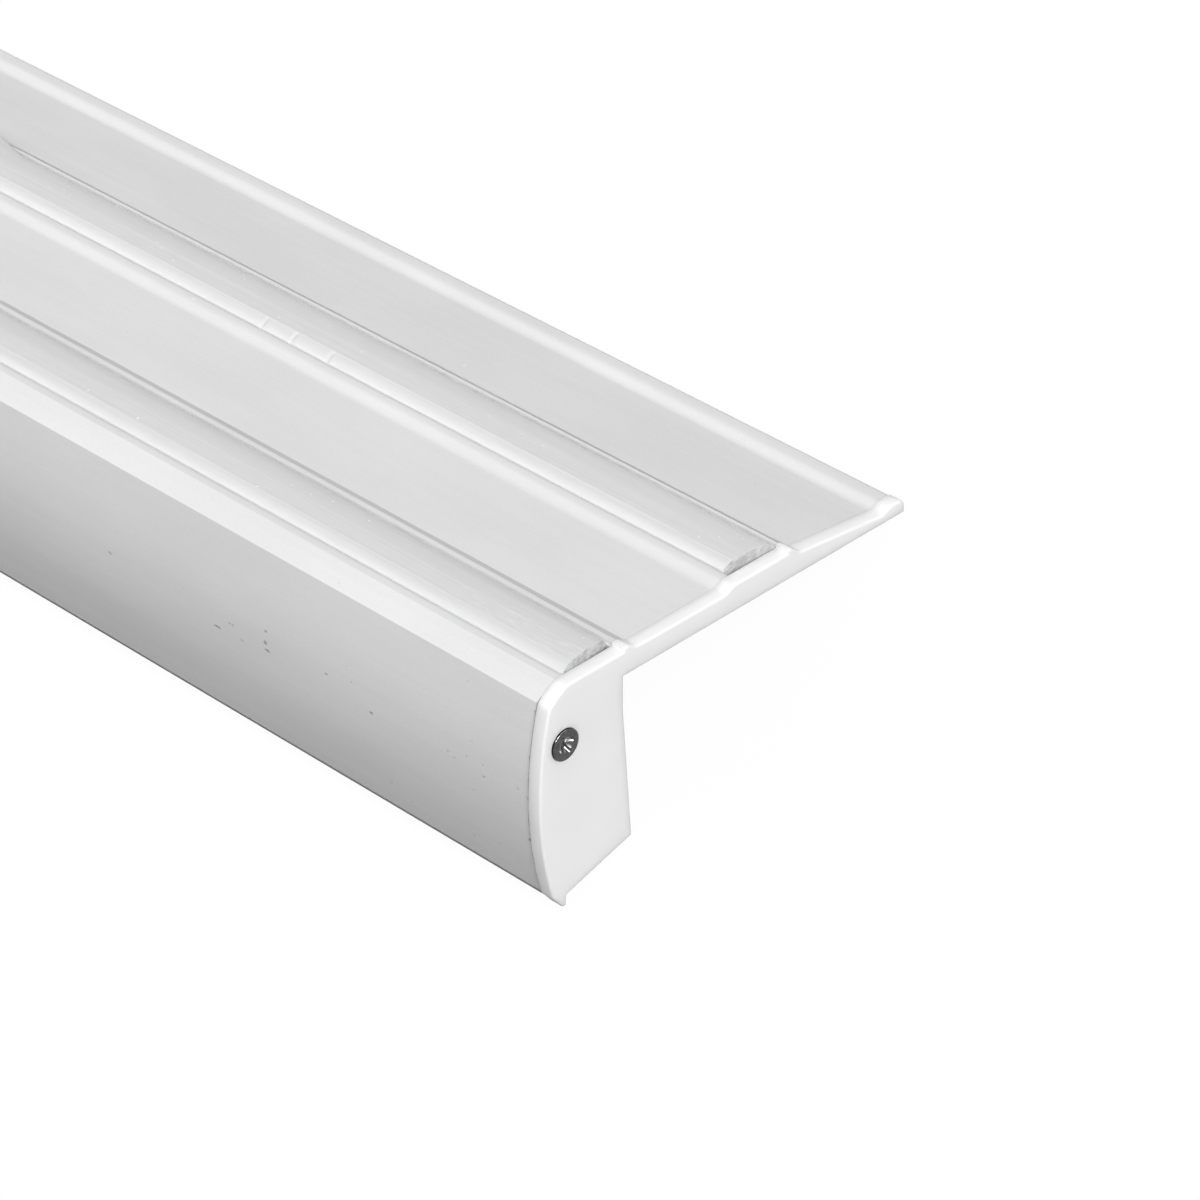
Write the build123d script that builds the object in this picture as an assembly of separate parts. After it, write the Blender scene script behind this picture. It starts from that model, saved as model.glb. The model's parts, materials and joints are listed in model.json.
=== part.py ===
from build123d import *
from math import atan2, cos, degrees, hypot, radians, sin, tan
import os

# Stair nosing with a light channel: an aluminium extrusion that covers the edge of a step. Two crowned
# grip strips sit in slots in the tread, a light cover closes the channel under the nose, and a moulded
# cap is screwed on each end.
#
# The section is drawn in (y, z) in millimetres from the step corner, where the tread's underside meets
# the back of the leg. y runs back along the tread, z runs up, and x runs along the profile.

# Profile
PROFILE_LENGTH = 1000.0
WALL = 1.8
STEP_CORNER_RADIUS = 0.5

# Leg, from the step corner down
LEG_HEIGHT = 30.3
LEG_UPRIGHT = 6.0
LEG_KICK = 1.9

# Nose, forward of the step corner: a shoulder above the nose edge, and a bowed front down to the chin
NOSE_EDGE_FORWARD = 15.7
NOSE_EDGE_HEIGHT = 1.7
SHOULDER_BOW = 0.15
CHIN_FORWARD = 15.1
CHIN_DROP = 33.6
CHIN_RADIUS = 0.6
FRONT_BOW = 2.4
LIP_FORWARD = 12.65
LIP_DROP = 2.45
LIP_TIP_RADIUS = 0.25

# Tread, from the step corner back
TREAD_BACK = 63.5
FRONT_PLATE_START_HEIGHT = 3.95
FRONT_PLATE_END_HEIGHT = 3.8
REAR_PLATE_START_HEIGHT = 3.76
REAR_PLATE_END_HEIGHT = 1.56
RAMP_RUN = 1.9
BACK_RAMP_RUN = 1.9
BACK_EDGE_RUN = 3.2
BACK_EDGE_HEIGHT = 2.4
BACK_TIP_HEIGHT = 1.2
BEND_RADIUS = 2.0

# Slots for the grip strips
FRONT_STRIP_FORWARD = 5.45
STRIP_PITCH = 36.35
FRONT_LIP_HEIGHT = 4.28
REAR_LIP_HEIGHT = 4.75
SLOT_MOUTH = 10.4
SLOT_DEPTH = 2.2
SLOT_UNDERCUT = 0.8
SLOT_UNDERCUT_HEIGHT = 1.1
SLOT_LIP = 1.5
RIB_RISE = 0.6
RIB_SETBACK = 0.4
FRONT_RIB_TOP = 0.9
REAR_RIB_TOP = 0.6
RIB_FOOT = 3.2

# Grip strips: a bowed front facet over a small front edge, a nearly level crown, a back that falls away and
# a rounded back corner. Heights are over the slot's lip. The right ends are cut askew, so that each has a
# front and a back shortfall.
STRIP_FIT = 0.1
STRIP_FRONT_EDGE_RUN = 0.1
STRIP_FRONT_EDGE_HEIGHT = 0.25
STRIP_FACET_RUN = 1.95
STRIP_FACET_BOW = 0.12
STRIP_FACET_TOP_HEIGHT = 1.4
STRIP_CROWN_RUN = 3.2
STRIP_CROWN_HEIGHT = 1.66
STRIP_BACK_BOW = 0.13
STRIP_SHOULDER_HEIGHT = 1.15
STRIP_CORNER_RUN = 0.75
STRIP_CORNER_BOW = 0.16
FRONT_STRIP_SHORTFALL = (0.1, 1.0)
REAR_STRIP_SHORTFALL = (1.5, 0.1)

# Glue grooves under the tread
GLUE_GROOVE_COUNT = 8
GLUE_GROOVE_START = 8.0
GLUE_GROOVE_PITCH = 6.0
GLUE_GROOVE_WIDTH = 2.0
GLUE_GROOVE_DEPTH = 0.5

# Light channel in the leg, square to its slanted window, with the light tape's bed at its top
WINDOW_SLOPE = 15.0
CHANNEL_WIDTH = 13.0
CHANNEL_DEPTH = 10.0
BED_THICKNESS = 1.6
NOTCH_START = 3.0
NOTCH_HEIGHT = 1.5
NOTCH_DEPTH = 0.6

# Light cover
COVER_THICKNESS = 1.5
COVER_LEG = 1.0
COVER_FIT = 0.12

# End caps and their locating tongues, the lower of which leaves room for the tape under its bed
CAP_THICKNESS = 2.5
CAP_PROUD = 0.2
CAP_EDGE = 0.4
CAP_EDGE_SHARE = 0.8
CAP_TIP_RADIUS = 0.5
CAP_NOSE_RADIUS = 2.0
TONGUE_LENGTH = 3.0
TONGUE_FIT = 0.2
UPPER_TONGUE_WIDTH = 5.0
TAPE_ROOM = 3.0

# Screw port and cap screws
SCREW_DROP = 5.93
PORT_RADIUS = 2.6
PORT_BORE_RADIUS = 1.25
PORT_SLOT = 1.2
SCREW_FIT = 0.05
SCREW_LENGTH = 13.0
SCREW_POINT = 2.0
SCREW_HEAD_RADIUS = 2.75
SCREW_HEAD_RIM = 0.45
SCREW_HEAD_CONE = 1.4
CAP_HOLE_RADIUS = 1.6
RECESS_SPAN = 3.2
RECESS_WIDTH = 0.7
RECESS_DEPTH = 1.3
RECESS_TURN = 45.0

# Places that follow from the sizes above
FOOT = (LEG_KICK, -LEG_HEIGHT)
NOSE_EDGE = (-NOSE_EDGE_FORWARD, NOSE_EDGE_HEIGHT)
CHIN = (-CHIN_FORWARD, -CHIN_DROP)
LIP_ROOT = (-LIP_FORWARD, -LEG_HEIGHT - (LEG_KICK + LIP_FORWARD) * tan(radians(WINDOW_SLOPE)))
FRONT_STRIP = (-FRONT_STRIP_FORWARD, FRONT_LIP_HEIGHT)
REAR_STRIP = (STRIP_PITCH - FRONT_STRIP_FORWARD, REAR_LIP_HEIGHT)
FRONT_LIP = (FRONT_STRIP[0] - SLOT_MOUTH / 2 - SLOT_LIP, FRONT_LIP_HEIGHT)
REAR_LIP = (REAR_STRIP[0] - SLOT_MOUTH / 2 - SLOT_LIP, REAR_LIP_HEIGHT)
RAMP_FOOT = (REAR_LIP[0] - RAMP_RUN, FRONT_PLATE_END_HEIGHT)
BACK_EDGE = (TREAD_BACK - BACK_EDGE_RUN, BACK_EDGE_HEIGHT)
BACK_RAMP_FOOT = (BACK_EDGE[0] - BACK_RAMP_RUN, REAR_PLATE_END_HEIGHT)
BENDS = (RAMP_FOOT, REAR_LIP, BACK_RAMP_FOOT, BACK_EDGE)
SCREW_SHANK_RADIUS = PORT_BORE_RADIUS - SCREW_FIT
FAR = 200.0
END_X = PROFILE_LENGTH / 2


def bowed(start, end, bow):
    """Arc from start to end that stands out by bow on the left of the way from start to end."""
    run, rise = end[0] - start[0], end[1] - start[1]
    chord = hypot(run, rise)
    middle = ((start[0] + end[0]) / 2 - bow * rise / chord, (start[1] + end[1]) / 2 + bow * run / chord)
    return ThreePointArc(start, middle, end)


def front_circle():
    """Centre and radius of the bowed front face."""
    run, rise = CHIN[0] - NOSE_EDGE[0], CHIN[1] - NOSE_EDGE[1]
    chord = hypot(run, rise)
    radius = (chord**2 / 4 + FRONT_BOW**2) / (2 * FRONT_BOW)
    reach = radius - FRONT_BOW
    middle = ((NOSE_EDGE[0] + CHIN[0]) / 2, (NOSE_EDGE[1] + CHIN[1]) / 2)
    return (middle[0] - reach * rise / chord, middle[1] + reach * run / chord), radius


def polygon(points):
    """Closed face through the points."""
    return make_face(Polyline(*points, close=True))


def window_point(along, above):
    """Point at a distance along the window from the lip's root, and above it into the leg."""
    slope = radians(WINDOW_SLOPE)
    return (
        LIP_ROOT[0] + along * cos(slope) - above * sin(slope),
        LIP_ROOT[1] + along * sin(slope) + above * cos(slope),
    )


def window_box(along, above):
    """Rectangle in the window's own directions, from (low, high) pairs."""
    return polygon(
        [
            window_point(along[0], above[0]),
            window_point(along[1], above[0]),
            window_point(along[1], above[1]),
            window_point(along[0], above[1]),
        ]
    )


# Section outline, with the strip slots still closed


def rib_points(strip, rib_top):
    """Low rib behind a strip slot: its back edge, and its upright front down to the slot's lip."""
    front = strip[0] + SLOT_MOUTH / 2 + RIB_SETBACK
    height = strip[1] + RIB_RISE
    return [(front + rib_top, height), (front, height), (front, strip[1])]


def soften(face, point, radius):
    """Round the outline's corner that lies at the point."""
    corner = face.vertices().sort_by_distance((point[0], point[1], 0))[0]
    return fillet(corner, radius)


def outline_face():
    """The whole outline that the extrusion and the end caps share."""
    back_top = (TREAD_BACK - BACK_EDGE_HEIGHT + BACK_TIP_HEIGHT, BACK_EDGE_HEIGHT)
    back_tip = (TREAD_BACK, BACK_TIP_HEIGHT)
    tread = [
        back_top,
        BACK_EDGE,
        BACK_RAMP_FOOT,
        (REAR_STRIP[0] + SLOT_MOUTH / 2 + RIB_FOOT, REAR_PLATE_START_HEIGHT),
        *rib_points(REAR_STRIP, REAR_RIB_TOP),
        REAR_LIP,
        RAMP_FOOT,
        (FRONT_STRIP[0] + SLOT_MOUTH / 2 + RIB_FOOT, FRONT_PLATE_START_HEIGHT),
        *rib_points(FRONT_STRIP, FRONT_RIB_TOP),
        FRONT_LIP,
    ]
    leg = [
        CHIN,
        (LIP_ROOT[0], LIP_ROOT[1] - LIP_DROP),
        LIP_ROOT,
        FOOT,
        (0, -LEG_UPRIGHT),
        (0, 0),
        (TREAD_BACK, 0),
        back_tip,
    ]
    back_round = TangentArc(back_top, back_tip, tangent=(1, 0))
    shoulder = bowed(NOSE_EDGE, FRONT_LIP, SHOULDER_BOW)
    front = bowed(CHIN, NOSE_EDGE, FRONT_BOW)
    face = make_face(Polyline(*tread) + shoulder + front + Polyline(*leg) + back_round)
    for bend in BENDS:
        face = soften(face, bend, BEND_RADIUS)
    return soften(face, CHIN, CHIN_RADIUS)


def section_outline():
    """Outline with the step corner and the lip's tip rounded."""
    face = soften(outline_face(), (0, 0), STEP_CORNER_RADIUS)
    return soften(face, (LIP_ROOT[0], LIP_ROOT[1] - LIP_DROP), LIP_TIP_RADIUS)


# Hollows of the extrusion


def upper_chamber():
    """Hollow inside the leg's walls, above the light tape's bed."""
    centre, radius = front_circle()
    ceiling = FRONT_LIP_HEIGHT - SLOT_DEPTH - WALL
    walls = polygon(
        [
            (-WALL, ceiling),
            (-WALL, -LEG_UPRIGHT),
            (LEG_KICK - WALL, -LEG_HEIGHT),
            (-FAR, -LEG_HEIGHT),
            (-FAR, ceiling),
        ]
    )
    front = Pos(*centre) * Circle(radius - WALL)
    return walls & front & window_box((-FAR, FAR), (CHANNEL_DEPTH + BED_THICKNESS, FAR))


def light_channel():
    """Channel for the light tape, open at the window, with a notch on each side for the cover's hooks."""
    channel = window_box((0, CHANNEL_WIDTH), (-LIP_DROP, CHANNEL_DEPTH))
    notch_reach = (-NOTCH_DEPTH, CHANNEL_WIDTH + NOTCH_DEPTH)
    notches = window_box(notch_reach, (NOTCH_START, NOTCH_START + NOTCH_HEIGHT))
    return channel + notches


def strip_slot(strip):
    """Slot of a grip strip: a straight mouth over a wider undercut."""
    floor = strip[1] - SLOT_DEPTH
    mouth = Pos(strip[0], strip[1] - SLOT_DEPTH / 2) * Rectangle(SLOT_MOUTH, SLOT_DEPTH)
    undercut = Pos(strip[0], floor + SLOT_UNDERCUT_HEIGHT / 2) * Rectangle(
        SLOT_MOUTH + 2 * SLOT_UNDERCUT, SLOT_UNDERCUT_HEIGHT
    )
    return mouth + undercut


def glue_grooves():
    """Shallow grooves for adhesive along the underside of the tread."""
    groove = Rectangle(GLUE_GROOVE_WIDTH, 2 * GLUE_GROOVE_DEPTH)
    return [Pos(GLUE_GROOVE_START + i * GLUE_GROOVE_PITCH, 0) * groove for i in range(GLUE_GROOVE_COUNT)]


# Screw port


def screw_centre():
    """Centre of the screw port, which stands against the inside of the front wall."""
    centre, radius = front_circle()
    inner = radius - WALL
    wall_y = centre[0] - (inner**2 - (-SCREW_DROP - centre[1]) ** 2) ** 0.5
    return (wall_y + PORT_RADIUS, -SCREW_DROP)


def screw_port():
    """Split tube for the cap's screw, with a web to the front wall."""
    y, z = screw_centre()
    web = Pos(y - (PORT_RADIUS + WALL / 2) / 2, z) * Rectangle(PORT_RADIUS + WALL / 2, PORT_RADIUS)
    split = Pos(y + PORT_RADIUS / 2, z) * Rectangle(PORT_RADIUS, PORT_SLOT)
    return Pos(y, z) * Circle(PORT_RADIUS) + web - split - Pos(y, z) * Circle(PORT_BORE_RADIUS)


# Solids, still in the section's own directions


def along_x(face, start, length):
    """Extrude a section face along the profile."""
    return Pos(start, 0, 0) * extrude(Plane.YZ * face, length)


def nosing_profile():
    """The aluminium extrusion."""
    section = section_outline() - upper_chamber() - light_channel()
    section = section + screw_port()
    section = section - strip_slot(FRONT_STRIP) - strip_slot(REAR_STRIP) - glue_grooves()
    return along_x(section, -END_X, PROFILE_LENGTH)


def strip_top(half, lip):
    """Top of a grip strip round its middle, from its front edge over to its back corner."""
    front, back = (-half, lip), (half, lip)
    facet_foot = (-half + STRIP_FRONT_EDGE_RUN, lip + STRIP_FRONT_EDGE_HEIGHT)
    facet_top = (facet_foot[0] + STRIP_FACET_RUN, lip + STRIP_FACET_TOP_HEIGHT)
    crown = (facet_top[0] + STRIP_CROWN_RUN, lip + STRIP_CROWN_HEIGHT)
    shoulder = (half - STRIP_CORNER_RUN, lip + STRIP_SHOULDER_HEIGHT)
    facet = Line(front, facet_foot) + bowed(facet_foot, facet_top, STRIP_FACET_BOW)
    rest = bowed(crown, shoulder, STRIP_BACK_BOW) + bowed(shoulder, back, STRIP_CORNER_BOW)
    return facet + Line(facet_top, crown) + rest


def saw_cut(strip, reach, shortfall):
    """What the saw takes off a strip's right end, from its shortfall at the front and at the back."""
    front, back = strip[0] - reach, strip[0] + reach
    beyond = END_X + FAR
    cut = [(END_X - shortfall[0], front), (END_X - shortfall[1], back), (beyond, back), (beyond, front)]
    return extrude(polygon(cut), FAR, both=True)


def grip_strip(strip, shortfall):
    """Crowned strip with a foot that fills the slot's undercut."""
    half_neck = SLOT_MOUTH / 2 - STRIP_FIT
    half_foot = half_neck + SLOT_UNDERCUT
    lip = strip[1]
    floor = lip - SLOT_DEPTH
    shoulder = floor + SLOT_UNDERCUT_HEIGHT - STRIP_FIT
    left = [(-half_neck, lip), (-half_neck, shoulder), (-half_foot, shoulder), (-half_foot, floor)]
    right = [(-y, z) for y, z in reversed(left)]
    face = make_face(Polyline(*left, *right) + strip_top(half_neck, lip))
    return along_x(Pos(strip[0], 0) * face, -END_X, PROFILE_LENGTH) - saw_cut(strip, half_foot, shortfall)


def light_cover():
    """Snap-in cover: a flat face with two hooked legs."""
    low, high = COVER_FIT, CHANNEL_WIDTH - COVER_FIT
    top = NOTCH_START + NOTCH_HEIGHT - COVER_FIT
    hook = (NOTCH_START + COVER_FIT, top)
    face = window_box((low, high), (0, COVER_THICKNESS))
    legs = window_box((low, low + COVER_LEG), (0, top)) + window_box((high - COVER_LEG, high), (0, top))
    hooks = window_box((low - NOTCH_DEPTH, low + COVER_LEG), hook)
    hooks = hooks + window_box((high - COVER_LEG, high + NOTCH_DEPTH), hook)
    return along_x(face + legs + hooks, -END_X, PROFILE_LENGTH)


def step_region():
    """The step under the tread and behind the leg, which the caps stay clear of."""
    return polygon([(0, 0), (0, -LEG_UPRIGHT), FOOT, (2 * LEG_KICK, -FAR), (FAR, -FAR), (FAR, 0)])


def turned(points):
    """Solid turned about the right cap's screw axis, from a half profile in (x, radius)."""
    y, z = screw_centre()
    return Pos(0, y, z) * revolve(polygon(points), Axis.X)


def cap_screw_hole():
    """Clearance hole through the right cap, with the countersink for the screw's head."""
    face = END_X + CAP_THICKNESS
    wide = SCREW_HEAD_RADIUS + SCREW_FIT
    depth = (wide - CAP_HOLE_RADIUS) * SCREW_HEAD_CONE / (SCREW_HEAD_RADIUS - SCREW_SHANK_RADIUS)
    return turned(
        [
            (END_X - TONGUE_LENGTH, 0),
            (face + CAP_THICKNESS, 0),
            (face + CAP_THICKNESS, wide),
            (face, wide),
            (face - depth, CAP_HOLE_RADIUS),
            (END_X - TONGUE_LENGTH, CAP_HOLE_RADIUS),
        ]
    )


def cap_screw():
    """Countersunk screw of the right cap, with a cross recess."""
    face = END_X + CAP_THICKNESS
    top = face + SCREW_HEAD_RIM
    tip = face - SCREW_LENGTH
    screw = turned(
        [
            (tip, 0),
            (top, 0),
            (top, SCREW_HEAD_RADIUS),
            (face, SCREW_HEAD_RADIUS),
            (face - SCREW_HEAD_CONE, SCREW_SHANK_RADIUS),
            (tip + SCREW_POINT, SCREW_SHANK_RADIUS),
        ]
    )
    y, z = screw_centre()
    wing = Box(2 * RECESS_DEPTH, RECESS_SPAN, RECESS_WIDTH)
    cross = wing + Rot(90, 0, 0) * wing
    return screw - Pos(top, y, z) * Rot(RECESS_TURN, 0, 0) * cross


def locating_tongues():
    """Tongues on the cap's inner face: one at the back wall of the leg's hollow, one across the channel."""
    back = polygon([(-UPPER_TONGUE_WIDTH, -FAR), (FAR, -FAR), (FAR, FAR), (-UPPER_TONGUE_WIDTH, FAR)])
    upper = offset(upper_chamber(), -TONGUE_FIT) & back
    above_cover = NOTCH_START + NOTCH_HEIGHT + TONGUE_FIT
    lower = window_box((TONGUE_FIT, CHANNEL_WIDTH - TONGUE_FIT), (above_cover, CHANNEL_DEPTH - TAPE_ROOM))
    start = END_X - TONGUE_LENGTH
    return along_x(upper, start, TONGUE_LENGTH) + along_x(lower, start, TONGUE_LENGTH)


def cap_outline():
    """Outline of the caps: a little proud of the extrusion, and flush where it meets the step."""
    face = offset(outline_face(), CAP_PROUD, kind=Kind.INTERSECTION) - step_region()
    for corner in (NOSE_EDGE, FRONT_LIP):
        face = soften(face, corner, CAP_NOSE_RADIUS)
    return soften(face, (LIP_ROOT[0], LIP_ROOT[1] - LIP_DROP), CAP_TIP_RADIUS)


def end_cap():
    """Moulded cap of the right end."""
    plate = along_x(cap_outline(), END_X, CAP_THICKNESS)
    outer_edges = plate.faces().sort_by(Axis.X)[-1].edges()
    plate = fillet(outer_edges, min(CAP_EDGE, CAP_EDGE_SHARE * BACK_TIP_HEIGHT))
    return plate + locating_tongues() - cap_screw_hole()


# Storage: the part lies on the foot of its caps and the tread's back tip, as it rests on a level floor


def rest_tilt():
    """Slope of the line from the foot of a cap to its back tip, in degrees."""
    run, rise = LEG_KICK, LEG_UPRIGHT - LEG_HEIGHT
    slope = radians(WINDOW_SLOPE)
    reach = CAP_PROUD / (run * sin(slope) - rise * cos(slope))
    foot = (FOOT[0] + run * reach, FOOT[1] + rise * reach)
    return degrees(atan2(-foot[1], TREAD_BACK + CAP_PROUD - foot[0]))


def stored(nodes):
    """Tilt the nodes to their rest, with the origin under the middle of the whole part."""
    tilted = {name: Rot(-rest_tilt(), 0, 0) * shape.solid() for name, shape in nodes.items()}
    box = Compound(list(tilted.values())).bounding_box()
    shift = Pos(0, -(box.min.Y + box.max.Y) / 2, -box.min.Z)
    return {name: shift * shape for name, shape in tilted.items()}


def build_nodes():
    """Every piece by its node's name."""
    cap = end_cap()
    screw = cap_screw()
    return stored(
        {
            "nosing_profile": nosing_profile(),
            "front_grip_strip": grip_strip(FRONT_STRIP, FRONT_STRIP_SHORTFALL),
            "rear_grip_strip": grip_strip(REAR_STRIP, REAR_STRIP_SHORTFALL),
            "light_cover": light_cover(),
            "end_cap_right": cap,
            "end_cap_left": mirror(cap, about=Plane.YZ),
            "end_cap_screw_right": screw,
            "end_cap_screw_left": mirror(screw, about=Plane.YZ),
        }
    )


os.makedirs("parts", exist_ok=True)
for node, shape in build_nodes().items():
    export_step(shape, f"parts/{node}.step")
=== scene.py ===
import json
from math import atan, cos, exp, hypot, pi, radians, sin

import bmesh
import bpy
import numpy as np
from mathutils import Matrix, Vector


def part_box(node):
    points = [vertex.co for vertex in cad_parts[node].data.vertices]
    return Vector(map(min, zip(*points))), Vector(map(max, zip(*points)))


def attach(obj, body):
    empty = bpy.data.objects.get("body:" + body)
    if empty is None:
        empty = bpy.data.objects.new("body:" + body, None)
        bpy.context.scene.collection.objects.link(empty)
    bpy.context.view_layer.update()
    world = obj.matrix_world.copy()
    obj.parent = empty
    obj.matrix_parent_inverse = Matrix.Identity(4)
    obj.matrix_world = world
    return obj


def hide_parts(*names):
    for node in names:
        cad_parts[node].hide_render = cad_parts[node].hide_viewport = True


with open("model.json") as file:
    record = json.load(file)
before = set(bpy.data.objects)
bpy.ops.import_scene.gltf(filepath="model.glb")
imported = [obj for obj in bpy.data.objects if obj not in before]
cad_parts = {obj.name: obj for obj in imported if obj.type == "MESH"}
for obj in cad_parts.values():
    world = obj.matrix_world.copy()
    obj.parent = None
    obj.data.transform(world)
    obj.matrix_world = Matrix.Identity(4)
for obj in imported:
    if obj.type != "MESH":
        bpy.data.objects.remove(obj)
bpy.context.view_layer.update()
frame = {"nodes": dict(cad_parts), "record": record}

# The section's own directions, found from the record's mounts: x along the profile, y back along the tread,
# z up out of the tread, in millimetres from the step corner.
MM = 0.001
mounts = {m["name"]: m for m in frame["record"]["mounts"]}
UP = -Vector(mounts["tread_underside"]["axis"])
BACK = Vector(mounts["riser_face"]["axis"])
under = Vector(mounts["tread_underside"]["pos_m"])
riser = Vector(mounts["riser_face"]["pos_m"])
CORNER = under + BACK * (riser - under).dot(BACK)
ALONG = Vector((1, 0, 0))
CAP_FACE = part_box("end_cap_right")[1].x / MM
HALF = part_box("nosing_profile")[1].x / MM


def to_world(x, y, z):
    """World point of a section point, all in mm."""
    return CORNER + (ALONG * x + BACK * y + UP * z) * MM


def direction(x, y, z):
    """World direction of a direction in the section."""
    return (ALONG * x + BACK * y + UP * z).normalized()


# Grip strips: the middle of each strip at its slot's lip, and how far its right end stops short of the
# profile's, at the front and at the back. All in mm.
FRONT_STRIP = (-5.45, 4.28)
REAR_STRIP = (30.9, 4.75)
FRONT_SHORTFALL = (0.1, 1.0)
REAR_SHORTFALL = (1.5, 0.1)
NECK = 5.0
FOOT = 5.9
SHOULDER = -1.2
FLOOR = -2.2

# Top of a strip round its middle, from front to back: start, end, how far it bows out, steps
STRIP_TOP = (
    ((-5.1, 0.0), (-5.0, 0.25), 0.01, 3),
    ((-5.0, 0.25), (-3.05, 1.40), 0.12, 20),
    ((-3.05, 1.40), (0.15, 1.66), 0.01, 24),
    ((0.15, 1.66), (4.35, 1.15), 0.13, 22),
    ((4.35, 1.15), (5.1, 0.0), 0.16, 12),
)

# Damage to the rear strip, as distances back from the near cap's outer face: saw nicks in its front facet,
# and a place where it has swollen out over its rib
NICKS = (92.5, 101.2, 108.2)
SWELLING = 193.0
SWELLING_REACH = 15.0
SWELLING_OUT = 2.4
SWELLING_UP = 0.55
NICK_WIDTH = 0.33
NICK_DEPTH = 0.22

# The last stretch of a strip is drawn in to meet its askew right end. Both cut ends are rough.
END_STRETCH = 12
CUT_ROUGHNESS = 0.05
CUT_ROWS = 10

# Cap screw: its head stands proud of the cap by HEAD_RIM, and its cross recess is a cone with four wings
SCREW = (-12.785, -5.93)
HEAD_RADIUS = 2.75
HEAD_RIM = 0.45
HEAD_CROWN = 0.10
HEAD_ROUNDING = 0.12
HEAD_SEAT = 1.4
SHANK_RADIUS = 1.2
THREAD_DEPTH = 0.25
THREAD_PITCH = 1.0
THREAD_TURNS = 10
SCREW_LENGTH = 13.0
RECESS_TURN = 23
RECESS_DEPTH = 0.95
CONE_RADIUS = 1.4
CONE_SLOPE = 1.15
WING_REACH = 1.8
WING_SLOPE = 1.2
WING_HALF_WIDTH = 0.66
WING_TAPER = 0.12
WING_WALL = 0.42

# Circle of the bowed front
FRONT_CENTRE = (48.310, -14.867)
FRONT_RADIUS = 66.119


# Materials


class Graph:
    """Node material with short calls for the nodes that it is made of."""

    def __init__(self, name):
        self.material = bpy.data.materials.new(name)
        self.material.use_nodes = True
        self.nodes = self.material.node_tree.nodes
        self.links = self.material.node_tree.links
        self.shader = self.nodes["Principled BSDF"]
        self.place = self.nodes.new("ShaderNodeTexCoord").outputs["Object"]

    def feed(self, socket, value):
        if isinstance(value, bpy.types.NodeSocket):
            self.links.new(value, socket)
        elif value is not None:
            socket.default_value = value

    def math(self, operation, a, b=None, clamp=False):
        node = self.nodes.new("ShaderNodeMath")
        node.operation = operation
        node.use_clamp = clamp
        self.feed(node.inputs[0], a)
        self.feed(node.inputs[1], b)
        return node.outputs[0]

    def vector(self, operation, a, b=None, output="Vector"):
        node = self.nodes.new("ShaderNodeVectorMath")
        node.operation = operation
        self.feed(node.inputs[0], a)
        self.feed(node.inputs[1], b)
        return node.outputs[output]

    def noise(self, size, detail=2.0, roughness=0.5):
        """Noise whose features are size = (x, y, z) metres large."""
        node = self.nodes.new("ShaderNodeTexNoise")
        node.inputs["Scale"].default_value = 1.0
        node.inputs["Detail"].default_value = detail
        node.inputs["Roughness"].default_value = roughness
        scaled = self.vector("MULTIPLY", self.place, [1 / s for s in size])
        self.feed(node.inputs["Vector"], scaled)
        return node.outputs["Fac"]

    def span(self, value, low, high, to_low=0.0, to_high=1.0, smooth=True):
        """Map value from low..high to to_low..to_high, clamped."""
        node = self.nodes.new("ShaderNodeMapRange")
        node.interpolation_type = "SMOOTHSTEP" if smooth else "LINEAR"
        sockets = ("Value", "From Min", "From Max", "To Min", "To Max")
        for socket, v in zip(sockets, (value, low, high, to_low, to_high)):
            self.feed(node.inputs[socket], v)
        return node.outputs["Result"]

    def total(self, first, *others):
        for other in others:
            first = self.math("ADD", first, other)
        return first

    def scaled(self, value, factor):
        return self.math("MULTIPLY", value, factor)

    def grey(self, value):
        """A grey from one number, as a colour socket."""
        node = self.nodes.new("ShaderNodeCombineColor")
        for name, tint in (("Red", 1.0), ("Green", 1.0), ("Blue", 1.006)):
            self.feed(node.inputs[name], self.scaled(value, tint))
        return node.outputs["Color"]

    def bump(self, height, depth, below=None):
        """Relief of the given depth in metres."""
        node = self.nodes.new("ShaderNodeBump")
        node.inputs["Distance"].default_value = depth
        self.feed(node.inputs["Height"], height)
        self.feed(node.inputs["Normal"], below)
        return node.outputs["Normal"]

    def rounded(self, radius):
        """Normal that rounds every edge off by the radius."""
        bevel = self.nodes.new("ShaderNodeBevel")
        bevel.inputs["Radius"].default_value = radius
        bevel.samples = 6
        return bevel.outputs["Normal"]

    def edge(self, radius):
        """1 on edges sharper than the radius, 0 on flat ground."""
        plain = self.nodes.new("ShaderNodeNewGeometry").outputs["Normal"]
        facing = self.vector("DOT_PRODUCT", self.rounded(radius), plain, "Value")
        return self.span(facing, 0.995, 0.90)

    def spots(self, marks):
        """1 inside the marks, each a world point with a length and a width in mm, with ragged outlines."""
        ragged = self.scaled(self.noise((0.0006, 0.0005, 0.0005), 3, 0.6), 2.2)
        covered = None
        for point, length, width in marks:
            offset = self.vector("SUBTRACT", self.place, point)
            scale = [2 / (length * MM), 2 / (width * MM), 2 / (width * MM)]
            reach = self.vector("LENGTH", self.vector("MULTIPLY", offset, scale), None, "Value")
            one = self.span(self.math("ADD", reach, ragged), 2.1, 1.2)
            covered = one if covered is None else self.math("MAXIMUM", covered, one)
        return covered

    def set(self, **values):
        for name, value in values.items():
            self.feed(self.shader.inputs[name.replace("_", " ")], value)
        return self.material


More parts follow.
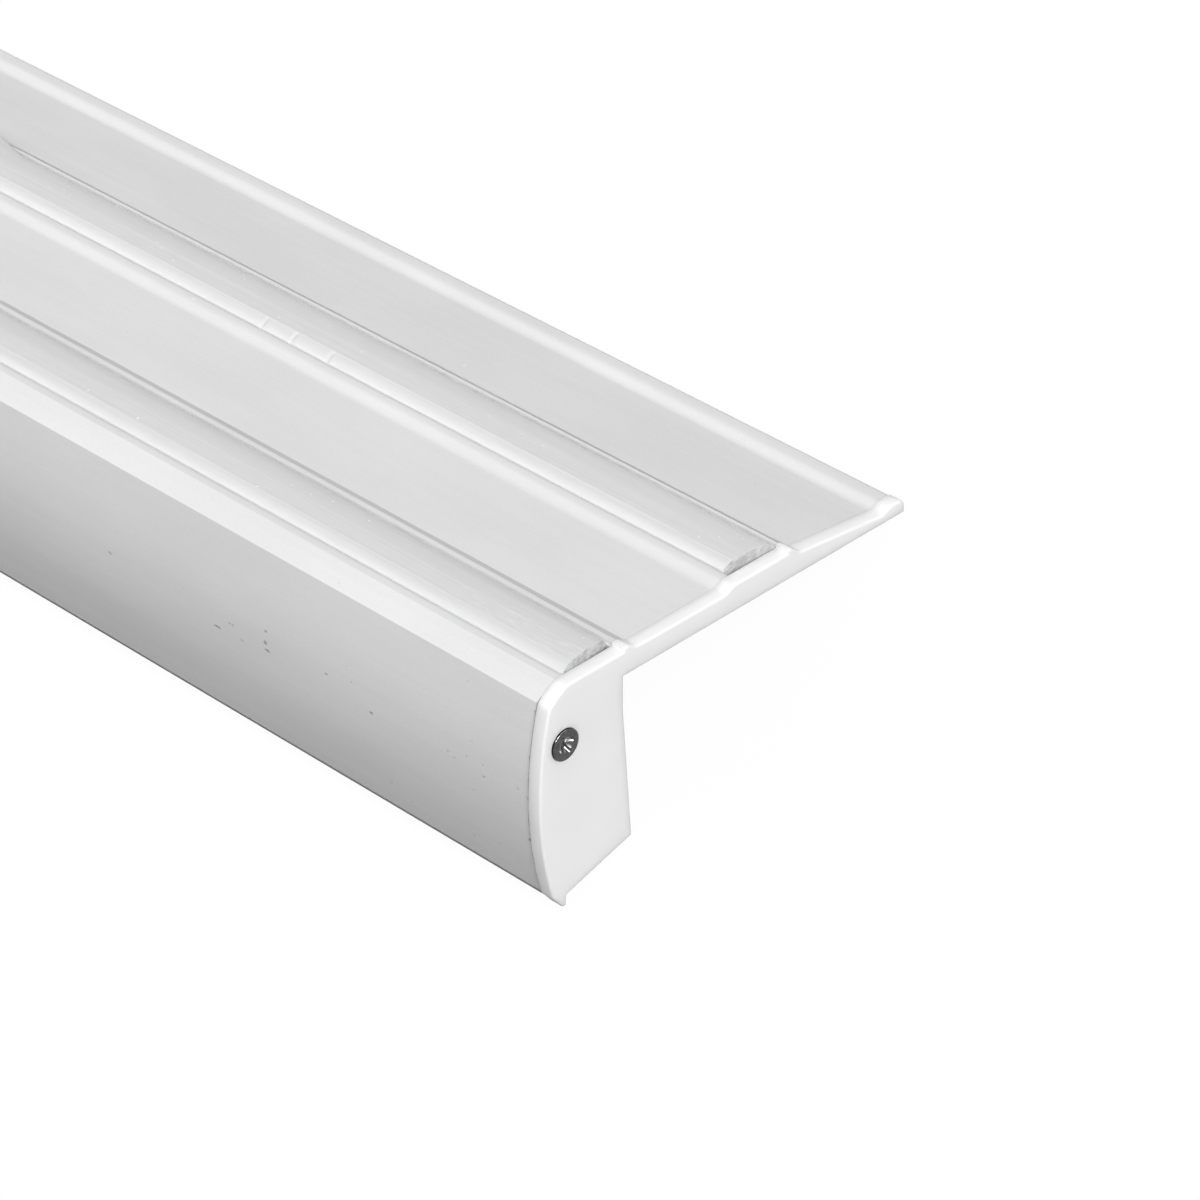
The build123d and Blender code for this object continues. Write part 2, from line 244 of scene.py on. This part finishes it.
# Marks of the photographed piece, picked in the photo and placed by their distance back from the near
# cap's outer face, in mm. On the front face the second number is the height over the step corner. Pits are
# dark and have a length and a width, dots are light.
PITS = [
    (72.2, -16.4, 1.6, 0.45),
    (68.8, -14.3, 1.2, 0.40),
    (60.8, -11.9, 1.0, 0.50),
    (60.9, -14.1, 1.1, 0.60),
    (66.4, -16.3, 0.8, 0.40),
    (60.5, -15.4, 1.3, 0.50),
    (36.9, -15.8, 0.9, 0.60),
    (42.5, -9.8, 0.7, 0.35),
    (46.9, -13.3, 0.9, 0.40),
    (41.3, -12.1, 0.6, 0.35),
    (20.1, -14.6, 0.7, 0.40),
    (18.7, -15.1, 0.5, 0.35),
    (15.0, -10.3, 0.6, 0.35),
    (16.0, -13.5, 0.5, 0.30),
    (12.5, -13.5, 0.5, 0.40),
    (12.3, -15.5, 0.9, 0.35),
    (5.0, -14.0, 0.6, 0.50),
    (3.3, -14.7, 0.5, 0.35),
    (14.6, -19.1, 0.5, 0.35),
    (30.1, -30.2, 0.7, 0.35),
    (10.2, -27.7, 0.5, 0.35),
    (16.3, -29.6, 0.6, 0.35),
    (34.4, -28.5, 0.7, 0.35),
    (97.6, -14.1, 1.0, 0.45),
]
DOTS = [(8.2, -14.2), (21.3, -11.0), (26.2, -10.5), (27.6, -10.5), (25.0, -25.3), (15.0, -10.5)]

# On the plates: distance back from the cap, and y in the section
PLATE_FLECKS = [(81.8, 12.5), (77.9, 14.7), (85.3, 18.4), (128.3, 14.8), (77.5, 42.7), (112.9, 48.7)]
PLATE_HEIGHT = 3.3

# Crumbs on the rear slot's lip and on the rib behind it: distance back from the cap, y and z in the section
CRUMBS = [(123.3, 24.7, 4.75), (139.0, 37.4, 5.35)]

# On the strips: distance back from the cap, and y round the strip's middle
FRONT_DUST = [(64.0, 1.3), (60.1, 2.3), (68.1, 1.0), (73.6, 1.0), (52.1, 2.5), (42.5, 2.0), (71.9, -2.7)]
FRONT_DUST += [(112.8, -2.3), (100.6, -2.4), (5.7, 2.5), (14.6, 4.0)]
REAR_DUST = [(8.0, 2.6), (9.4, 0.0), (6.7, -3.9), (11.9, -2.0), (12.3, 0.3), (18.7, 0.2)]
REAR_DUST += [(6.6, 2.2), (17.7, -2.9)]
REAR_DUST += [(120.2, 2.4), (98.7, 1.7), (107.0, -2.1), (99.8, -2.7), (89.0, -0.3), (91.2, 0.2)]
REAR_DUST += [(52.4, 0.1), (49.0, -0.2), (47.5, -0.1), (60.0, 0.1), (77.9, 0.1)]
REAR_DUST += [(138.3, -4.8), (136.3, -4.3), (135.6, -3.9), (134.8, -4.0), (133.6, -4.2), (132.7, -4.5)]
REAR_DUST += [(130.9, -4.8), (133.4, -1.7), (137.7, -0.4), (139.6, 0.4), (121.4, 3.3), (141.6, 4.2)]
REAR_DUST += [(165.3, 2.9), (164.9, 1.3), (162.5, 0.7), (167.0, 0.0), (174.8, -2.7)]
CROWN = 1.5


def front_point(back, height):
    """World point on the bowed front."""
    y = FRONT_CENTRE[0] - (FRONT_RADIUS**2 - (height - FRONT_CENTRE[1]) ** 2) ** 0.5
    return to_world(CAP_FACE - back, y, height)


def aluminium():
    """Satin anodised aluminium, with fine lines along the profile."""
    g = Graph("anodised_aluminium")
    fine = g.noise((0.035, 0.00012, 0.00012), 4, 0.6)
    broad = g.noise((0.12, 0.0016, 0.0016), 3)
    cloud = g.noise((0.03, 0.012, 0.012), 2)
    grain = g.noise((0.0005, 0.00035, 0.00035), 3, 0.6)
    dashes = g.span(g.noise((0.004, 0.00016, 0.00016), 1), 0.72, 0.78)
    specks = g.span(g.noise((0.0007, 0.0003, 0.0003), 1), 0.80, 0.84)
    marks = [(front_point(back, height), 1.3 * length, 1.5 * width) for back, height, length, width in PITS]
    deep = g.spots([mark for mark in marks if mark[1] > 1.1])
    shallow = g.spots([mark for mark in marks if mark[1] <= 1.1])
    pits = g.math("MAXIMUM", deep, g.scaled(shallow, 0.5))
    pits = g.math("MAXIMUM", pits, g.scaled(specks, 0.55))
    dots = [(front_point(*place), 0.6, 0.45) for place in DOTS]
    flecks = [(to_world(CAP_FACE - back, y, PLATE_HEIGHT), 0.8, 1.2) for back, y in PLATE_FLECKS]
    crumbs = [(to_world(CAP_FACE - back, y, z), 1.0, 1.0) for back, y, z in CRUMBS]
    flecks = g.spots(dots + flecks + crumbs)
    tone = g.total(
        g.span(fine, 0.25, 0.75, -0.012, 0.012),
        g.span(broad, 0.3, 0.7, -0.006, 0.006),
        g.span(cloud, 0.3, 0.7, -0.012, 0.012),
        g.span(grain, 0.3, 0.7, -0.010, 0.010),
        g.scaled(dashes, 0.03),
        g.scaled(flecks, 0.09),
        g.scaled(g.edge(0.00025), 0.02),
        0.735,
    )
    tone = g.math("MULTIPLY", tone, g.span(pits, 0.0, 1.0, 1.0, 0.45, smooth=False))
    # painted shade of the joint gap: the front's last third of a millimetre before each cap is darkened, with
    # a ragged edge
    shade_edge_noise = g.noise((0.0012, 0.0016, 0.0016), 3, 0.6)
    across = g.nodes.new("ShaderNodeSeparateXYZ")
    g.feed(across.inputs[0], g.place)
    from_middle = g.math("ABSOLUTE", across.outputs["X"])
    reach = g.total(
        from_middle,
        g.span(shade_edge_noise, 0.35, 0.85, -0.00004, 0.00014),
        g.span(shade_edge_noise, 0.60, 0.70, 0.0, 0.0006),
    )
    depth = g.vector("DOT_PRODUCT", g.vector("SUBTRACT", g.place, CORNER), BACK, "Value")
    near_cap = g.span(reach, (HALF - 0.42) * MM, (HALF - 0.28) * MM)
    on_front = g.span(depth, -0.0146, -0.0152)
    joint_shade = g.math("MULTIPLY", near_cap, on_front)
    tone = g.math("MULTIPLY", tone, g.span(joint_shade, 0.0, 1.0, 1.0, 0.55, smooth=False))
    # painted shade along the front mouth of each strip slot, in the crease where the strip meets its lip
    for strip in (FRONT_STRIP, REAR_STRIP):
        from_mouth = g.math("ABSOLUTE", g.math("SUBTRACT", depth, (strip[0] - NECK) * MM))
        tone = g.math("MULTIPLY", tone, g.span(from_mouth, 0.0, 0.0009, 0.84, 1.0))
    rough = g.math("ADD", g.span(fine, 0.2, 0.8, 0.42, 0.52), g.scaled(pits, 0.25))
    relief = g.bump(g.total(g.scaled(fine, 0.5), g.scaled(broad, 0.3), g.scaled(grain, 0.2)), 0.000005)
    relief = g.bump(g.scaled(pits, -1.0), 0.00004, relief)
    return g.set(
        Base_Color=g.grey(tone),
        Roughness=rough,
        Normal=relief,
        Metallic=0.05,
        Specular_IOR_Level=0.0,
    )


def strip_plastic():
    """Translucent grey plastic, dragged and scratched along its length, with dust."""
    g = Graph("grip_strip_plastic")
    drag = g.noise((0.014, 0.00016, 0.00016), 4, 0.65)
    broad = g.noise((0.05, 0.0012, 0.0012), 3)
    scratch = g.span(g.noise((0.005, 0.00011, 0.00011), 1), 0.69, 0.76)
    fallen = g.span(g.noise((0.0005, 0.00022, 0.00022), 1), 0.80, 0.84)
    marks = []
    for strip, places in ((FRONT_STRIP, FRONT_DUST), (REAR_STRIP, REAR_DUST)):
        for back, y in places:
            marks.append((to_world(CAP_FACE - back, strip[0] + y, strip[1] + CROWN), 0.55, 0.7))
    dust = g.math("MAXIMUM", fallen, g.spots(marks))
    # place across each strip, from its middle: it sets the painted highlight at the foot of each front facet,
    # the painted shade on each back flank, and the scuff
    depth = g.vector("DOT_PRODUCT", g.vector("SUBTRACT", g.place, CORNER), BACK, "Value")
    pitch = (REAR_STRIP[0] - FRONT_STRIP[0]) * MM
    on_rear = g.math("GREATER_THAN", depth, (FRONT_STRIP[0] + REAR_STRIP[0]) / 2 * MM)
    from_middle = g.math("SUBTRACT", g.math("ADD", depth, -FRONT_STRIP[0] * MM), g.scaled(on_rear, pitch))
    # the front strip is scuffed near its right end
    along = g.nodes.new("ShaderNodeSeparateXYZ")
    g.feed(along.inputs[0], g.place)
    near_end = g.span(along.outputs["X"], (HALF - 34) * MM, (HALF - 12) * MM)
    worn = g.math("MULTIPLY", near_end, g.span(depth, -0.0035, -0.0052))
    worn = g.math("MULTIPLY", worn, g.span(from_middle, -0.0034, -0.0024))
    scuffed = g.math("MULTIPLY", worn, g.span(g.noise((0.0035, 0.00013, 0.00013), 1), 0.60, 0.68))
    # the cut ends are rough and darker
    facing = g.nodes.new("ShaderNodeSeparateXYZ")
    g.feed(facing.inputs[0], g.nodes.new("ShaderNodeNewGeometry").outputs["Normal"])
    cut = g.span(g.math("ABSOLUTE", facing.outputs["X"]), 0.55, 0.85)
    chatter = g.noise((0.0014, 0.0011, 0.0007), 4, 0.6)
    tone = g.total(
        # painted highlight at the foot of each front facet, and painted shade on each back flank
        g.span(from_middle, -0.0036, -0.0049, 0.0, 0.03),
        g.span(from_middle, 0.0026, 0.0048, 0.0, -0.06),
        g.math("MULTIPLY", cut, g.span(chatter, 0.35, 0.65, -0.24, -0.06)),
        g.scaled(scuffed, 0.12),
        g.span(drag, 0.25, 0.75, -0.016, 0.016),
        g.span(broad, 0.3, 0.7, -0.010, 0.010),
        g.scaled(scratch, 0.04),
        g.scaled(dust, 0.20),
        0.67,
    )
    rough = g.span(drag, 0.2, 0.8, 0.27, 0.40)
    relief = g.bump(g.math("ADD", drag, g.scaled(scratch, 0.5)), 0.00002)
    relief = g.bump(dust, 0.00005, relief)
    relief = g.bump(g.math("MULTIPLY", cut, chatter), 0.0001, relief)
    return g.set(
        Base_Color=g.grey(tone),
        Roughness=rough,
        Normal=relief,
        Subsurface_Weight=0.25,
        Subsurface_Radius=(1.0, 1.0, 1.0),
        Subsurface_Scale=0.0008,
        IOR=1.5,
    )


def cap_plastic():
    """White moulded plastic with a fine satin grain."""
    g = Graph("cap_plastic")
    grain = g.noise((0.00025, 0.00025, 0.00025), 3, 0.6)
    flow = g.noise((0.006, 0.02, 0.006), 2)
    scuff = g.span(g.noise((0.0002, 0.005, 0.0004), 2), 0.70, 0.78)
    tone = g.total(
        g.span(flow, 0.3, 0.7, -0.006, 0.006),
        g.span(grain, 0.3, 0.7, -0.005, 0.005),
        g.scaled(scuff, -0.02),
        0.93,
    )
    rough = g.span(grain, 0.3, 0.7, 0.40, 0.52)
    relief = g.bump(grain, 0.00001)
    return g.set(
        Base_Color=g.grey(tone),
        Roughness=rough,
        Normal=relief,
        Subsurface_Weight=0.55,
        Subsurface_Radius=(1.0, 1.0, 1.0),
        Subsurface_Scale=0.003,
        IOR=1.5,
    )


def opal():
    """Opal light cover with faint die lines."""
    g = Graph("opal_cover")
    lines = g.noise((0.3, 0.0003, 0.0003), 3)
    haze = g.noise((0.02, 0.006, 0.006), 2)
    tone = g.total(g.span(lines, 0.3, 0.7, -0.012, 0.012), g.span(haze, 0.3, 0.7, -0.01, 0.01), 0.85)
    relief = g.bump(lines, 0.000008)
    return g.set(
        Base_Color=g.grey(tone),
        Roughness=g.span(lines, 0.3, 0.7, 0.42, 0.55),
        Normal=relief,
        Subsurface_Weight=0.5,
        Subsurface_Radius=(1.0, 1.0, 1.0),
        Subsurface_Scale=0.002,
        IOR=1.5,
    )


def steel():
    """Dark screw steel, mottled by stamping, with painted highlights where its rim and recess face up and a
    little inside the recess.
    """
    g = Graph("screw_steel")
    mottle = g.noise((0.0005, 0.0005, 0.0005), 3, 0.6)
    scratch = g.span(g.noise((0.0004, 0.00006, 0.0011), 2), 0.62, 0.72)
    normal = g.nodes.new("ShaderNodeNewGeometry").outputs["Normal"]
    # painted highlight: lighter where the rim and the recess walls face up
    painted_glint = g.span(g.vector("DOT_PRODUCT", normal, direction(0, -0.35, 0.94), "Value"), 0.62, 0.86)
    # inside the recess the steel is a little lighter, a painted highlight, and rougher
    from_axis = g.vector("MULTIPLY", g.vector("SUBTRACT", g.place, to_world(0, *SCREW)), (0, 1, 1))
    recess = g.span(g.vector("LENGTH", from_axis, None, "Value"), 1.6 * MM, 1.2 * MM)
    tone = g.total(
        g.span(mottle, 0.3, 0.7, -0.02, 0.02),
        g.scaled(scratch, 0.04),
        g.scaled(painted_glint, 0.80),
        g.scaled(recess, 0.03),
        0.085,
    )
    rough = g.math("ADD", g.span(mottle, 0.25, 0.75, 0.17, 0.23), g.scaled(recess, 0.08))
    relief = g.bump(mottle, 0.00002)
    return g.set(Base_Color=g.grey(tone), Roughness=rough, Normal=relief, Metallic=1.0)


# Meshes


def mesh_object(name, points, faces, sharp=40):
    """Object from section points in mm."""
    mesh = bpy.data.meshes.new(name)
    mesh.from_pydata([to_world(*p) for p in points], [], faces)
    work = bmesh.new()
    work.from_mesh(mesh)
    bmesh.ops.recalc_face_normals(work, faces=work.faces)
    work.to_mesh(mesh)
    work.free()
    mesh.shade_smooth()
    mesh.set_sharp_from_angle(angle=radians(sharp))
    piece = bpy.data.objects.new(name, mesh)
    bpy.context.scene.collection.objects.link(piece)
    return piece


def bowed(start, end, bow, steps):
    """Points of an arc that stands out by bow on the left of the way from start to end, without the end."""
    start, end = Vector(start), Vector(end)
    chord = (end - start).length
    along = (end - start) / chord
    left = Vector((-along.y, along.x))
    radius = (chord**2 / 4 + bow**2) / (2 * bow)
    half_angle = 2 * atan(2 * bow / chord)
    points = []
    for i in range(steps):
        angle = half_angle * (2 * i / steps - 1)
        forward = along * radius * sin(angle)
        outward = left * (bow - radius + radius * cos(angle))
        points.append((start + end) / 2 + forward + outward)
    return points


def crease(y):
    """Fine bead and groove where a strip's front facet meets its crown."""
    return 0.03 * exp(-(((y + 2.95) / 0.13) ** 2)) - 0.04 * exp(-(((y + 3.3) / 0.13) ** 2))


def strip_top():
    """Top of a strip round its middle, from front to back."""
    points = []
    for start, end, bow, steps in STRIP_TOP:
        points += bowed(start, end, bow, steps)
    points.append(Vector(STRIP_TOP[-1][1]))
    return [(y, z + crease(y)) for y, z in points]


def smooth_step(value, low, high):
    share = min(1.0, max(0.0, (value - low) / (high - low)))
    return share * share * (3 - 2 * share)


def swelling(x, y, z):
    """Shift back and up of a point on the rear strip's top, where it has swollen out over its rib."""
    from_peak = (x - (CAP_FACE - SWELLING)) / SWELLING_REACH
    if abs(from_peak) >= 1 or z <= 0:
        return 0.0, 0.0
    height = (1 - from_peak**2) ** 2 * smooth_step(y, 0.5, 5.0)
    over_rib = smooth_step(z, 0.05, 0.35)
    return height * over_rib * SWELLING_OUT, height * SWELLING_UP


def nick(x, y):
    """Depth of the saw nicks in the rear strip's front facet."""
    depth = 0.0
    for back in NICKS:
        depth = max(depth, exp(-(((x - (CAP_FACE - back)) / NICK_WIDTH) ** 2)))
    return NICK_DEPTH * depth * smooth_step(-y, 3.0, 3.6)


def drag_lines(rng, xs, across):
    """Shallow lines that run along a strip's top, as heights for every place along and across it."""
    relief = np.zeros((len(xs), len(across)))
    for _ in range(170):
        middle = rng.uniform(-2.8, 4.6)
        width = rng.uniform(0.07, 0.20)
        start = rng.uniform(-HALF - 60, HALF)
        length = rng.uniform(12, 160)
        along = np.clip((xs - start) / length, 0, 1)
        shape = np.sin(pi * along) ** 0.6
        line = middle + rng.uniform(-0.2, 0.2) * along
        profile = np.exp(-(((across[None] - line[:, None]) / width) ** 2))
        relief += rng.uniform(-0.022, 0.012) * shape[:, None] * profile
    return np.minimum(relief, 0)


def stations():
    """Places along a strip, close together near its cut ends and at the rear strip's damage."""
    near = np.concatenate([np.arange(0, 3, 0.25), np.arange(3, END_STRETCH, 1.0)])
    places = [-HALF + near, np.arange(-HALF + END_STRETCH, HALF - END_STRETCH, 2.5), HALF - near]
    for back in NICKS:
        places.append(CAP_FACE - back + np.arange(-1.5, 1.6, 0.25))
    places.append(CAP_FACE - SWELLING + np.arange(-SWELLING_REACH, SWELLING_REACH + 0.1, 1.0))
    return np.unique(np.round(np.concatenate(places), 2))


def grip_strip(name, centre, shortfall, damaged, seed):
    """Strip with drag lines along it and rough cut ends, the right one askew."""
    rng = np.random.default_rng(seed)
    top = strip_top()
    right = [(NECK, SHOULDER), (FOOT, SHOULDER), (FOOT, FLOOR)]
    foot = right + [(-y, z) for y, z in reversed(right)]
    outline = top + foot
    count, ring = len(top), len(top) + len(foot)
    xs = stations()
    relief = drag_lines(rng, xs, np.array([y for y, z in top]))
    squeezed = HALF - END_STRETCH

    def end_place(y, side):
        if side < 0:
            return -HALF
        share = (y + FOOT) / (2 * FOOT)
        return HALF - shortfall[0] - (shortfall[1] - shortfall[0]) * share

    points = []
    for i, x in enumerate(xs):
        last = i in (0, len(xs) - 1)
        for k, (y, z) in enumerate(outline):
            place = x
            if x > squeezed:
                place = squeezed + (x - squeezed) * (end_place(y, 1) - squeezed) / END_STRETCH
            if last:
                place -= abs(rng.normal(0, CUT_ROUGHNESS)) * (1 if x > 0 else -1)
            if k < count:
                z += relief[i, k]
                if damaged:
                    out, up = swelling(x, y, z)
                    y, z = y + out, z + up - nick(x, y)
            points.append((place, centre[0] + y, centre[1] + z))
    faces = []
    for i in range(len(xs) - 1):
        for k in range(ring):
            a, b = i * ring + k, i * ring + (k + 1) % ring
            faces.append((a, b, b + ring, a + ring))
    # each cut end is split into rows, so that the saw's roughness is real
    for first, side in ((0, -1), ((len(xs) - 1) * ring, 1)):
        previous = list(range(first, first + count))
        for row in range(1, CUT_ROWS + 1):
            current = []
            for k, (y, z) in enumerate(top):
                inner = row < CUT_ROWS and 0 < k < count - 1
                depth = abs(rng.normal(0, CUT_ROUGHNESS)) if inner else 0.0
                height = z * (1 - row / CUT_ROWS)
                points.append((end_place(y, side) - side * depth, centre[0] + y, centre[1] + height))
                current.append(len(points) - 1)
            for k in range(count - 1):
                faces.append((previous[k], previous[k + 1], current[k + 1], current[k]))
            previous = current
        lower = [first + count + n for n in range(len(foot))]
        faces.append([previous[-1], *lower, previous[0]] + previous[1:-1])
        faces.append((first + count - 1, previous[-1], lower[0]))
        faces.append((first, lower[-1], previous[0]))
    return mesh_object(name, points, faces)


def recess_depth(y, z):
    """Depth of the cross recess at a point of the head, in mm: four wings with sloped sides round a cone."""
    turn = radians(RECESS_TURN)
    u, v = y * cos(turn) + z * sin(turn), -y * sin(turn) + z * cos(turn)
    deepest = CONE_SLOPE * max(0.0, CONE_RADIUS - hypot(y, z))
    for along, aside in ((abs(u), abs(v)), (abs(v), abs(u))):
        inside = min(1.0, max(0.0, (WING_HALF_WIDTH - WING_TAPER * along - aside) / WING_WALL))
        deepest = max(deepest, WING_SLOPE * max(0.0, WING_REACH - along) * inside)
    return min(RECESS_DEPTH, deepest)


def cap_screw(name, side):
    """Screw with a softly rimmed head, cross recess, cone and thread.

    Known fault: on the outermost ring of the head, edge comes out just over 1 and rim is not a number.
    That ring's points have no valid place, and the export puts them at the frame's origin.
    """
    segments = 160
    face = CAP_FACE
    over_recess, flat, rounded_rim = (0.04, 2.2, 62), (2.26, 2.6, 5), (2.63, HEAD_RADIUS, 8)
    radii = np.concatenate([np.linspace(*rings) for rings in (over_recess, flat, rounded_rim)])
    points, faces = [(face + HEAD_RIM - recess_depth(0, 0), SCREW[0], SCREW[1])], []
    for r in radii:
        crown = HEAD_CROWN * (r / HEAD_RADIUS) ** 2
        edge = max(0.0, (r - (HEAD_RADIUS - HEAD_ROUNDING)) / HEAD_ROUNDING)
        rim = HEAD_ROUNDING * (1 - (1 - edge**2) ** 0.5)
        for s in range(segments):
            t = 2 * pi * s / segments
            y, z = r * cos(t), r * sin(t)
            points.append((face + HEAD_RIM - crown - rim - recess_depth(y, z), SCREW[0] + y, SCREW[1] + z))
    below = [(face - 0.02, HEAD_RADIUS), (face - HEAD_SEAT, SHANK_RADIUS)]
    steps = 8
    for i in range(THREAD_TURNS * steps + 1):
        below.append((face - 1.45 - i * THREAD_PITCH / steps, None))
    for x, plain_radius in below:
        for s in range(segments):
            t = 2 * pi * s / segments
            crest = abs(((x / THREAD_PITCH) + t / (2 * pi)) % 1.0 - 0.5) * 2
            radius = plain_radius
            if radius is None:
                radius = SHANK_RADIUS - THREAD_DEPTH + THREAD_DEPTH * crest
            points.append((x, SCREW[0] + radius * cos(t), SCREW[1] + radius * sin(t)))
    points.append((face - SCREW_LENGTH, SCREW[0], SCREW[1]))
    rows = len(radii) + len(below)
    for s in range(segments):
        faces.append((0, 1 + s, 1 + (s + 1) % segments))
    for i in range(rows - 1):
        for s in range(segments):
            a, b = 1 + i * segments + s, 1 + i * segments + (s + 1) % segments
            faces.append((a, a + segments, b + segments, b))
    last = 1 + (rows - 1) * segments
    for s in range(segments):
        faces.append((last + s, len(points) - 1, last + (s + 1) % segments))
    return mesh_object(name, [(side * x, y, z) for x, y, z in points], faces, sharp=45)


# The pieces

finishes = {
    "anodised_aluminium": aluminium(),
    "grip_strip_plastic": strip_plastic(),
    "cap_plastic": cap_plastic(),
    "opal_cover": opal(),
    "screw_steel": steel(),
}

for node, finish in (
    ("nosing_profile", "anodised_aluminium"),
    ("light_cover", "opal_cover"),
    ("end_cap_right", "cap_plastic"),
    ("end_cap_left", "cap_plastic"),
):
    carried = frame["nodes"][node]
    carried.data.materials.clear()
    carried.data.materials.append(finishes[finish])

front_strip = grip_strip("front_strip_detail", FRONT_STRIP, FRONT_SHORTFALL, False, 11)
rear_strip = grip_strip("rear_strip_detail", REAR_STRIP, REAR_SHORTFALL, True, 23)

for node, finish, piece in (
    ("front_grip_strip", "grip_strip_plastic", front_strip),
    ("rear_grip_strip", "grip_strip_plastic", rear_strip),
    ("end_cap_screw_right", "screw_steel", cap_screw("screw_right_detail", 1)),
    ("end_cap_screw_left", "screw_steel", cap_screw("screw_left_detail", -1)),
):
    piece.data.materials.append(finishes[finish])
    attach(piece, "root")
    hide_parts(node)


# Floor, surroundings and light


def backdrop_share(nodes, links):
    """1 for camera, glossy and transmission rays, which see the white background."""
    path = nodes.new("ShaderNodeLightPath")
    share = path.outputs["Is Camera Ray"]
    for name in ("Is Glossy Ray", "Is Transmission Ray"):
        node = nodes.new("ShaderNodeMath")
        node.operation = "MAXIMUM"
        links.new(share, node.inputs[0])
        links.new(path.outputs[name], node.inputs[1])
        share = node.outputs[0]
    return share


FLOOR_TONE = 0.05
FLOOR_GLOW = 0.95
SURROUNDINGS = 0.06


def floor():
    """Large floor that glows white for the camera and in reflections, and still keeps the shadow."""
    bpy.ops.mesh.primitive_plane_add(size=30, location=(0, 0, 0))
    plane = bpy.context.object
    plane.name = "floor"
    material = bpy.data.materials.new("floor_white")
    material.use_nodes = True
    nodes, links = material.node_tree.nodes, material.node_tree.links
    shader = nodes["Principled BSDF"]
    shader.inputs["Base Color"].default_value = (FLOOR_TONE, FLOOR_TONE, FLOOR_TONE, 1)
    shader.inputs["Roughness"].default_value = 0.9
    shader.inputs["Specular IOR Level"].default_value = 0.0
    shader.inputs["Emission Color"].default_value = (1, 1, 1, 1)
    glow = nodes.new("ShaderNodeMath")
    glow.operation = "MULTIPLY"
    glow.inputs[1].default_value = FLOOR_GLOW
    links.new(backdrop_share(nodes, links), glow.inputs[0])
    links.new(glow.outputs[0], shader.inputs["Emission Strength"])
    plane.data.materials.append(material)


def surroundings():
    """Even light from all round, seen as white."""
    world = bpy.context.scene.world or bpy.data.worlds.new("World")
    bpy.context.scene.world = world
    world.use_nodes = True
    nodes, links = world.node_tree.nodes, world.node_tree.links
    background = nodes["Background"]
    background.inputs["Color"].default_value = (1, 1, 1, 1)
    strength = nodes.new("ShaderNodeMapRange")
    strength.inputs["To Min"].default_value = SURROUNDINGS
    strength.inputs["To Max"].default_value = 1.0
    links.new(backdrop_share(nodes, links), strength.inputs["Value"])
    links.new(strength.outputs["Result"], background.inputs["Strength"])


def sun(name, toward, brightness, spread):
    """Soft light from a direction; brightness 1 lights a white card that faces it to white."""
    light = bpy.data.lights.new(name, "SUN")
    light.energy = brightness * pi
    light.angle = radians(spread)
    lamp = bpy.data.objects.new(name, light)
    bpy.context.scene.collection.objects.link(lamp)
    lamp.rotation_mode = "QUATERNION"
    lamp.rotation_quaternion = Vector(toward).normalized().to_track_quat("Z", "Y")


floor()
surroundings()
sun("key", direction(0.83, -0.42, 0.66), 1.14, 40)
sun("front_fill", direction(-0.57, -0.60, 0.56), 0.32, 40)
sun("left_fill", (-1.0, 0.0, 0.0), 0.3, 40)
sun("back_fill", (-0.25, 1.0, 0.0), 0.2, 40)


# Camera, at the photograph's viewpoint

AZIMUTH = radians(44.197)
ELEVATION = radians(33.820)
VIEWPOINT = (442.634, -460.396, 441.741)
SENSOR_WIDTH = 36.0
FOCAL_LENGTH = 154.98

camera_data = bpy.data.cameras.new("camera")
camera_data.sensor_width = SENSOR_WIDTH
camera_data.lens = FOCAL_LENGTH
camera = bpy.data.objects.new("camera", camera_data)
bpy.context.scene.collection.objects.link(camera)
right = direction(cos(AZIMUTH), sin(AZIMUTH), 0)
look = direction(-sin(AZIMUTH) * cos(ELEVATION), cos(AZIMUTH) * cos(ELEVATION), -sin(ELEVATION))
above = right.cross(look)
turn = Matrix((right, above, -look)).transposed().to_4x4()
camera.matrix_world = Matrix.Translation(to_world(CAP_FACE + VIEWPOINT[0], VIEWPOINT[1], VIEWPOINT[2])) @ turn
bpy.context.scene.camera = camera
bpy.context.scene.view_settings.view_transform = "Standard"
